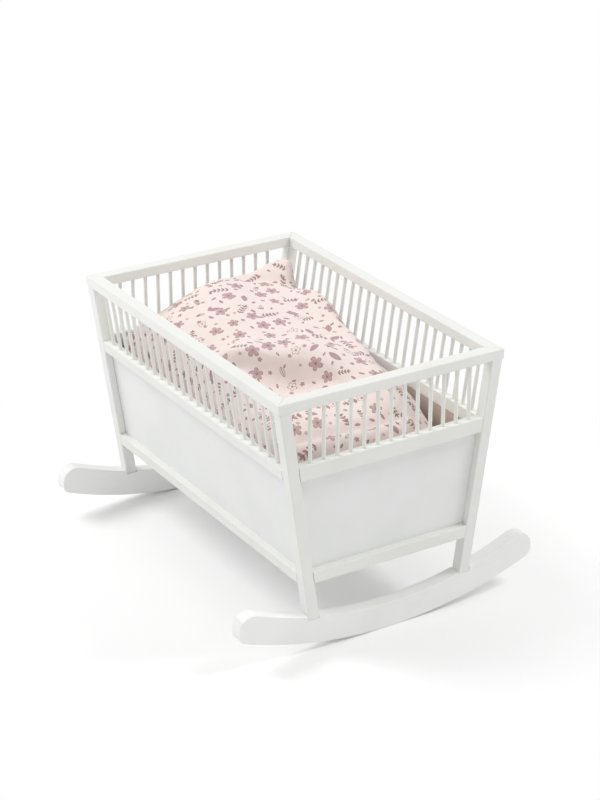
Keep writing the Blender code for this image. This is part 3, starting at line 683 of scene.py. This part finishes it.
def board_white_out_brown_in(name, film, node, outward):
    """Thin board painted on its outer side, past the node's middle along outward, and brown inside."""
    low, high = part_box(node)
    middle = [abs(first + last) / 2 for first, last in zip(low, high)]
    material = board_paint(name, film)
    wiring = Wiring(material.node_tree)
    shader = material.node_tree.nodes["Principled BSDF"]
    paint = shader.inputs["Base Color"].links[0].from_socket
    place = wiring.node("TexCoord").outputs["Object"]
    reach = wiring.vector("DOT_PRODUCT", wiring.vector("ABSOLUTE", place), outward)
    spread = wiring.vector("MULTIPLY", place, (FIBRE_SCALE, FIBRE_SCALE, FIBRE_SCALE))
    fibres = wiring.noise(spread, detail=3.0)
    # The board's inner side is brown, darker than the white coat outside
    board = wiring.mix(wiring.ramp(fibres, *NOISE_RANGE), *INNER_BOARD_BROWNS)
    inner = wiring.maths("LESS_THAN", reach, float(np.dot(middle, outward)))
    wiring.put(wiring.mix(inner, paint, board), shader.inputs["Base Color"])
    return material


def bare_beech():
    material, wiring, shader = new_material("bare_beech")
    place = wiring.node("TexCoord").outputs["Object"]
    grain = wiring.noise(wiring.vector("MULTIPLY", place, GRAIN_SCALE), detail=4.0)
    shade = wiring.mix(wiring.ramp(grain, *NOISE_RANGE), *BARE_WOOD)
    wiring.put(shade, shader.inputs["Base Color"])
    raise_surface(wiring, shader, wiring.maths("MULTIPLY", grain, GRAIN_DEPTH))
    wiring.put(wiring.ramp(grain, *NOISE_RANGE, *WOOD_ROUGHNESS), shader.inputs["Roughness"])
    return material


def dress_frame():
    film = paint_film_group()
    along_x = (MARKS_ALONG, MARKS_ACROSS, MARKS_ACROSS)
    along_y = (MARKS_ACROSS, MARKS_ALONG, MARKS_ACROSS)
    along_z = (MARKS_ACROSS, MARKS_ACROSS, MARKS_ALONG)
    lengthwise = painted("paint_along_x", film, COAT, THIN_COAT, along_x, STICK_DEPTHS)
    crosswise = painted("paint_along_y", film, COAT, THIN_COAT, along_y, STICK_DEPTHS)
    upright = painted("paint_upright", film, COAT, THIN_COAT, along_z, STICK_DEPTHS)
    board = board_paint("paint_board", film)
    side_board = board_white_out_brown_in("side_board", film, "back_panel", (0.0, 1.0, -SIDE_SLOPE))
    end_board = board_white_out_brown_in("end_board", film, "foot_panel", (1.0, 0.0, 0.0))
    # The rockers take the lighter coats: painted light from the floor's bounce
    rocker = painted("paint_rocker_painted_light", film, ROCKER_COAT_PAINTED_LIGHT, ROCKER_THIN_COAT_PAINTED_LIGHT, along_y, STICK_DEPTHS)
    beech = bare_beech()
    for name, node in frame["nodes"].items():
        if name.endswith("_dowel"):
            finish = beech
        elif name in ("front_panel", "back_panel"):
            finish = side_board
        elif name in ("head_panel", "foot_panel"):
            finish = end_board
        elif name == "base_board":
            finish = board
        elif name.endswith("_rocker"):
            finish = rocker
        elif name.endswith("_leg") or "_spindle_" in name:
            finish = upright
        elif name.startswith(("front_", "back_")):
            finish = lengthwise
        elif name.endswith("_rail"):
            finish = crosswise
        else:
            continue
        node.data.materials.clear()
        node.data.materials.append(finish)
    fill_joints(upright)


def flat_faces(node):
    """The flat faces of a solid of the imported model, its triangles joined again."""
    bm = bmesh.new()
    bm.from_mesh(node.data)
    bm.transform(node.matrix_world)
    bmesh.ops.remove_doubles(bm, verts=bm.verts, dist=SAME_POINT)
    bmesh.ops.dissolve_limit(bm, angle_limit=SAME_FACE, verts=bm.verts, edges=bm.edges)
    return bm


def gap_over(place, facing, name, trees):
    """How far it is from a place on a solid to the next solid, or None past the widest joint."""
    others = [tree for other, tree in trees.items() if other != name]
    spans = [tree.ray_cast(place, facing, WIDEST_JOINT)[3] for tree in others]
    return min((span for span in spans if span is not None), default=None)


def reach_across(corner, middle, facing, name, trees):
    """Where the gap over a corner begins, tried ever further in from the edge, and how wide it is."""
    inward = (middle - corner).normalized()
    for step in JOINT_INSETS:
        start = corner + inward * step
        span = gap_over(start, facing, name, trees)
        if span is not None:
            return start, span
    return None


def add_block(beads, low, high):
    """A block of paint between two outlines with as many points."""
    low = [beads.verts.new(place) for place in low]
    high = [beads.verts.new(place) for place in high]
    beads.faces.new(reversed(low))
    beads.faces.new(high)
    for here in range(len(low)):
        there = (here + 1) % len(low)
        beads.faces.new((low[here], low[there], high[there], high[here]))


def fill_leg_top(beads, end, side):
    """Levels the notch between a leg's top and the bevelled lower edge of the rim, on the cot's end."""
    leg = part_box("foot_back_leg")[1]
    rim_low, rim_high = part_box("foot_rim_rail")
    inner = rim_high[0] - RIM_BEVEL
    outer = rim_high[0] - NOTCH_INSET
    # x and z of the corners: a hair over the leg, and up to three hairs under the rim and its bevel
    section = (
        (inner, leg[2] + HAIR),
        (outer, leg[2] + HAIR),
        (outer, rim_low[2] + outer - inner - 3 * HAIR),
        (inner + 2 * HAIR, rim_low[2] - HAIR),
    )
    far = leg[1] - NOTCH_SIDE
    outlines = [[(end * x, side * y, z) for x, z in section] for y in (far - NOTCH_WIDTH, far)]
    add_block(beads, *outlines)


def fill_joints(paint):
    """Paint that has run into the fine gaps between glued pieces, a hair below their surface."""
    wood = {name: node for name, node in frame["nodes"].items() if name not in SOFT_NODES}
    solids = {name: flat_faces(node) for name, node in wood.items()}
    trees = {name: BVHTree.FromBMesh(bm) for name, bm in solids.items()}
    beads = bmesh.new()
    done = []
    for name, bm in solids.items():
        for face in bm.faces:
            middle = face.calc_center_median()
            if gap_over(middle, face.normal, name, trees) is None:
                continue
            if any((middle - seen).length < SAME_JOINT for seen in done):
                continue
            corners = []
            for corner in face.verts:
                found = reach_across(corner.co, middle, face.normal, name, trees)
                if found is None:
                    break
                corners.append(found)
            if len(corners) < len(face.verts):
                continue
            done.append(middle)
            depth = min(span for start, span in corners) - HAIR
            low = [start + face.normal * HAIR for start, span in corners]
            high = [start + face.normal * depth for start, span in corners]
            add_block(beads, low, high)
    for end in (-1, 1):
        for side in (-1, 1):
            fill_leg_top(beads, end, side)
    bmesh.ops.recalc_face_normals(beads, faces=beads.faces)
    mesh = bpy.data.meshes.new("paint_in_joints")
    beads.to_mesh(mesh)
    piece = bpy.data.objects.new("paint_in_joints", mesh)
    bpy.context.scene.collection.objects.link(piece)
    mesh.materials.append(paint)
    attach(piece, "cradle")


# Bedding


def copy_of(node, name):
    """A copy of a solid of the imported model, its loose triangles joined."""
    mesh = frame["nodes"][node].data.copy()
    mesh.name = name
    mesh.materials.clear()
    bm = bmesh.new()
    bm.from_mesh(mesh)
    bmesh.ops.remove_doubles(bm, verts=bm.verts, dist=SAME_POINT)
    bm.to_mesh(mesh)
    bm.free()
    for attribute in ("custom_normal", "sharp_face", "sharp_edge"):
        if attribute in mesh.attributes:
            mesh.attributes.remove(mesh.attributes[attribute])
    for layer in list(mesh.uv_layers):
        mesh.uv_layers.remove(layer)
    piece = bpy.data.objects.new(name, mesh)
    bpy.context.scene.collection.objects.link(piece)
    return piece


def remesh(piece, size):
    grid = piece.modifiers.new("even_grid", "REMESH")
    grid.mode = "VOXEL"
    grid.voxel_size = size
    grid.adaptivity = 0
    apply_all(piece)


def points_of(piece):
    mesh = piece.data
    places = np.zeros(len(mesh.vertices) * 3, np.float32)
    mesh.vertices.foreach_get("co", places)
    return places.reshape(-1, 3).astype(float)


def normals_of(piece):
    mesh = piece.data
    facing = np.zeros(len(mesh.vertices) * 3, np.float32)
    mesh.vertices.foreach_get("normal", facing)
    return facing.reshape(-1, 3).astype(float)


def move_points(piece, places):
    piece.data.vertices.foreach_set("co", places.astype(np.float32).ravel())
    piece.data.update()


def distance_in_plan(places, line):
    """Distance over the ground from each point to a line of x, y points."""
    best = np.full(len(places), np.inf)
    line = np.array(line, float)
    for start, end in zip(line[:-1], line[1:]):
        run = end - start
        share = np.clip(((places[:, :2] - start) @ run) / (run @ run), 0, 1)
        foot = start + share[:, None] * run
        best = np.minimum(best, np.linalg.norm(places[:, :2] - foot, axis=1))
    return best


def upper_side(piece):
    """1 where the surface faces up, 0 where it is upright or faces down."""
    return soft_step(normals_of(piece)[:, 2], *UPPER_FACING)


def fold(piece, line, reach, rise):
    """Raises, or with a negative rise presses in, a soft fold along a line on the upper side."""
    places = points_of(piece)
    upper = upper_side(piece)
    places[:, 2] += rise * upper * np.exp(-((distance_in_plan(places, line) / reach) ** 2))
    move_points(piece, places)


def swell(piece, swell_limit, slack=0.0):
    """Blows the cover up as its filling would, letting no point move further than the limit."""
    start = points_of(piece)
    cloth = piece.modifiers.new("filling", "CLOTH")
    settings = cloth.settings
    settings.quality = 5
    settings.mass = 0.2
    settings.use_pressure = True
    settings.uniform_pressure_force = FILLING_PRESSURE
    settings.tension_stiffness = 12
    settings.compression_stiffness = 12
    settings.shear_stiffness = 4
    settings.bending_stiffness = 0.4
    settings.shrink_min = -slack
    settings.effector_weights.gravity = 0
    cloth.collision_settings.use_self_collision = False
    cloth.collision_settings.use_collision = False
    scene = bpy.context.scene
    for step in range(1, FILLING_FRAMES + 1):
        scene.frame_set(step)
    shaped = piece.evaluated_get(bpy.context.evaluated_depsgraph_get())
    places = np.array([vertex.co for vertex in shaped.data.vertices], float)
    piece.modifiers.remove(cloth)
    scene.frame_set(1)
    moved = places - start
    length = np.linalg.norm(moved, axis=1)
    keep = np.minimum(1, swell_limit / np.maximum(length, SAME_POINT))
    move_points(piece, start + moved * keep[:, None])


def half_width_inside(level):
    return RIM_EDGE[1] - (RIM_EDGE[2] - level) * SIDE_SLOPE - RAIL_DEPTH


def hold_in_cot(piece):
    """Presses what would reach through the cot's sides or ends or the mattress back inside."""
    places = points_of(piece)
    side = half_width_inside(places[:, 2]) - SIDE_CLEARANCE
    places[:, 1] = np.clip(places[:, 1], -side, side)
    places[:, 0] = np.clip(places[:, 0], -HALF_BED_LENGTH, HALF_BED_LENGTH)
    places[:, 2] = np.maximum(places[:, 2], BED_TOP)
    move_points(piece, places)


def unwrap(piece):
    """Lays the cover out flat in metres, cut open round its underside."""
    mesh = piece.data
    bm = bmesh.new()
    bm.from_mesh(mesh)
    bm.normal_update()
    for edge in bm.edges:
        under = [face.normal.z < UNDERSIDE_FACING for face in edge.link_faces]
        edge.seam = len(under) == 2 and under[0] != under[1]
    bm.to_mesh(mesh)
    bm.free()
    mesh.uv_layers.new(name="flat_cloth")
    select_only(piece)
    bpy.ops.object.mode_set(mode="EDIT")
    bpy.ops.mesh.select_all(action="SELECT")
    bpy.ops.uv.unwrap(method="MINIMUM_STRETCH", iterations=12, margin=0.002)
    bpy.ops.object.mode_set(mode="OBJECT")
    mesh = piece.data
    flat = np.zeros(len(mesh.loops) * 2, np.float32)
    layer = mesh.uv_layers["flat_cloth"]
    layer.data.foreach_get("uv", flat)
    flat = flat.reshape(-1, 2)
    drawn = 0.0
    real = 0.0
    for face in mesh.polygons:
        if face.normal.z > UNDERSIDE_FACING:
            corners = flat[list(face.loop_indices)]
            x, y = corners[:, 0], corners[:, 1]
            drawn += abs(np.dot(x, np.roll(y, 1)) - np.dot(y, np.roll(x, 1))) / 2
            real += face.area
    flat *= math.sqrt(real / drawn)
    layer.data.foreach_set("uv", flat.ravel())


def ruffle(piece, size, height):
    """Slight unevenness all over, with bumps about size apart and height high."""
    unevenness = bpy.data.textures.new(piece.name + "_unevenness", "CLOUDS")
    unevenness.noise_scale = size
    push = piece.modifiers.new("ruffle", "DISPLACE")
    push.texture = unevenness
    push.texture_coords = "LOCAL"
    push.strength = height
    push.mid_level = 0.5
    apply_all(piece)


def refine(piece):
    rounding = piece.modifiers.new("round", "SUBSURF")
    rounding.levels = 1
    rounding.render_levels = 1
    apply_all(piece)
    select_only(piece)
    bpy.ops.object.shade_smooth()


def finish_soft(piece, node, material):
    piece.data.materials.append(material)
    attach(piece, node)
    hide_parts(node)


def sew_edge(piece, name, level, tilt, radius, material, node, slot):
    """A sewn edge round a soft piece, where a plane at that level cuts it, tilted along the cot."""
    edge = piece.copy()
    edge.data = piece.data.copy()
    edge.name = name
    bpy.context.scene.collection.objects.link(edge)
    select_only(edge)
    bpy.ops.object.mode_set(mode="EDIT")
    bpy.ops.mesh.select_all(action="SELECT")
    bpy.ops.mesh.bisect(
        plane_co=(0, 0, level), plane_no=(-tilt, 0, 1), clear_inner=True, clear_outer=True
    )
    bpy.ops.object.mode_set(mode="OBJECT")
    bpy.ops.object.convert(target="CURVE")
    edge.data.bevel_depth = radius
    edge.data.bevel_resolution = 2
    bpy.ops.object.convert(target="MESH")
    edge.data.materials.clear()
    edge.data.materials.append(material)
    for key in list(edge.keys()):
        if key.startswith("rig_"):
            del edge[key]
    bpy.ops.object.shade_smooth()
    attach(edge, node)


# The duvet's folds as lines seen from above, each with how far it reaches and how much it rises
CORNER_CREASE = ((-0.186, 0.045), (-0.178, 0.061), (-0.168, 0.082), (-0.160, 0.095))
CREST = ((-0.17, 0.05), (-0.12, 0.03), (-0.07, 0.010), (-0.02, 0.01), (0.03, 0.03), (0.07, 0.045))
BACK_FOLD = (
    (-0.145, 0.118), (-0.11, 0.112), (-0.075, 0.105), (-0.032, 0.100), (0.006, 0.094), (0.047, 0.088)
)
FOOT_SWELL = ((0.045, -0.075), (0.058, -0.05), (0.075, -0.028), (0.100, -0.008))
END_CREASE = (
    (0.169, -0.085), (0.172, -0.058), (0.174, -0.027), (0.173, 0.0), (0.170, 0.028), (0.165, 0.06)
)
END_ROLL = ((0.186, -0.085), (0.190, -0.05), (0.192, -0.02), (0.192, 0.01), (0.190, 0.04), (0.186, 0.07))
HEM_LINE = ((-0.02, 0.120), (0.010, 0.115), (0.040, 0.103), (0.068, 0.094), (0.093, 0.087), (0.12, 0.08))
HEM_REACH = 0.003
HEM_RISE = -0.002
DUVET_FOLDS = (
    (CORNER_CREASE, 0.009, -0.005),
    (CREST, 0.03, -0.005),
    (BACK_FOLD, 0.014, 0.006),
    (FOOT_SWELL, 0.020, 0.009),
    (END_ROLL, 0.013, 0.010),
    (END_CREASE, 0.005, -0.006),
)
# The steep fold halfway along, from the front side to where it runs out, the upper side on its left
LEDGE = (
    (-0.018, -0.100), (-0.003, -0.072), (0.009, -0.055), (0.020, -0.040), (0.032, -0.022),
    (0.046, -0.006), (0.067, 0.008), (0.086, 0.020), (0.110, 0.035),
)
LEDGE_RISE = 0.013
LEDGE_DIP = 0.003
LEDGE_TOP_REACH = 0.026
LEDGE_DIP_REACH = 0.02

# Where along its line the fold grows and runs out, and how far beside the line the cloth stands up
# and sinks
LEDGE_START_SHARES = (-0.1, 0.1)
LEDGE_END_SHARES = (0.7, 1.0)
LEDGE_TOP_EDGE = (-0.004, 0.006)
LEDGE_DIP_EDGE = (-0.006, 0.0)


def ledge(piece):
    """A steep fold along a line: the cloth stands up on the left of the line and sinks on its right."""
    places = points_of(piece)
    upper = upper_side(piece)
    line = np.array(LEDGE, float)
    nearest = np.full(len(places), np.inf)
    signed = np.zeros(len(places))
    share_along = np.zeros(len(places))
    for count, (start, end) in enumerate(zip(line[:-1], line[1:])):
        run = end - start
        away = places[:, :2] - start
        share = np.clip((away @ run) / (run @ run), 0, 1)
        offset = places[:, :2] - start - share[:, None] * run
        length = np.linalg.norm(offset, axis=1)
        side = np.sign(run[0] * away[:, 1] - run[1] * away[:, 0])
        better = length < nearest
        nearest[better] = length[better]
        signed[better] = (length * side)[better]
        share_along[better] = (count + share[better]) / (len(line) - 1)
    grown = soft_step(share_along, *LEDGE_START_SHARES)
    strength = grown * (1 - soft_step(share_along, *LEDGE_END_SHARES))
    top = soft_step(signed, *LEDGE_TOP_EDGE) * np.exp(-((signed / LEDGE_TOP_REACH) ** 2))
    dip = (1 - soft_step(signed, *LEDGE_DIP_EDGE)) * np.exp(-((signed / LEDGE_DIP_REACH) ** 2))
    places[:, 2] += upper * strength * (LEDGE_RISE * top - LEDGE_DIP * dip)
    move_points(piece, places)


# The duvet's hanging sides: from where to where they begin and end along the cot, how far out they
# lie, over which levels they hang on, and how far they drop
DROOP_START = (-0.205, -0.18)
DROOP_END = (-0.06, -0.02)
DROOP_OUTSIDE = (0.103, 0.115)
DROOP_LEVELS = (0.235, 0.285)
DROOP_DEPTH = 0.022


def droop(piece):
    """Lets the lower edge of the long sides hang down past what lies under the duvet."""
    places = points_of(piece)
    along = soft_step(places[:, 0], *DROOP_START) * (1 - soft_step(places[:, 0], *DROOP_END))
    outside = soft_step(np.abs(places[:, 1]), *DROOP_OUTSIDE)
    lower = 1 - soft_step(places[:, 2], *DROOP_LEVELS)
    places[:, 2] -= DROOP_DEPTH * along * outside * lower
    move_points(piece, places)


# How far the duvet is drawn in before its filling blows it up, the grids of the soft pieces, how far
# the filling may push them out and the duvet's share of slack cloth
DUVET_DRAW_IN = 0.002
DUVET_GRID = 0.005
DUVET_SWELL = 0.0035
DUVET_SLACK_SHARE = 0.03
PILLOW_GRID = 0.004
PILLOW_SWELL = 0.003
MATTRESS_GRID = 0.006

# Unevenness: how far its bumps lie apart and how high they are
DUVET_RUFFLES = ((0.04, 0.003), (0.012, 0.0009))
PILLOW_RUFFLES = ((0.03, 0.002),)

# The sewn edges: the level of the cutting plane and its tilt
DUVET_EDGE = (0.205, -0.09)
PILLOW_EDGE = (0.178, 0.0)


def make_duvet(cover, edging):
    duvet = copy_of("duvet", "printed_duvet")
    remesh(duvet, DUVET_GRID)
    move_points(duvet, points_of(duvet) - DUVET_DRAW_IN * normals_of(duvet))
    swell(duvet, DUVET_SWELL, slack=DUVET_SLACK_SHARE)
    for line, reach, rise in DUVET_FOLDS:
        fold(duvet, line, reach, rise)
    ledge(duvet)
    droop(duvet)
    unwrap(duvet)
    refine(duvet)
    fold(duvet, HEM_LINE, HEM_REACH, HEM_RISE)
    for size, height in DUVET_RUFFLES:
        ruffle(duvet, size, height)
    hold_in_cot(duvet)
    sew_edge(duvet, "duvet_edge", *DUVET_EDGE, SEAM_RADIUS, edging, "duvet", "bedding")
    finish_soft(duvet, "duvet", cover)


def make_pillow(cover, edging):
    pillow = copy_of("pillow", "printed_pillow")
    remesh(pillow, PILLOW_GRID)
    swell(pillow, PILLOW_SWELL)
    unwrap(pillow)
    refine(pillow)
    for size, height in PILLOW_RUFFLES:
        ruffle(pillow, size, height)
    hold_in_cot(pillow)
    sew_edge(pillow, "pillow_edge", *PILLOW_EDGE, SEAM_RADIUS, edging, "pillow", "bedding")
    finish_soft(pillow, "pillow", cover)


def make_mattress(ticking, edging):
    mattress = copy_of("mattress", "cotton_mattress")
    remesh(mattress, MATTRESS_GRID)
    unwrap(mattress)
    refine(mattress)
    low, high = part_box("mattress")
    levels = {
        "mattress_top_piping": high[2] - PIPING_INSET,
        "mattress_low_piping": low[2] + PIPING_INSET,
    }
    for name, level in levels.items():
        sew_edge(mattress, name, level, 0.0, PIPING_RADIUS, edging, "mattress", "mattress_cover")
    finish_soft(mattress, "mattress", ticking)


set_camera()
light_studio()
lay_floor()
dress_frame()
weave = weave_group()
leaf = leaf_group()
garden = garden_print_group(motif_place_group(), leaf, sprig_group(leaf), blossom_group())
cover = printed_cotton("printed_cotton", garden, weave)
ticking = plain_cotton("white_ticking", weave, TICKING)
seam = plain_cotton("sewn_edge", weave, SEAM, flat=False)
piping = plain_cotton("white_piping", weave, PIPING, flat=False)
make_duvet(cover, seam)
make_pillow(cover, seam)
make_mattress(ticking, piping)

scene = bpy.context.scene
scene.view_settings.view_transform = "Standard"
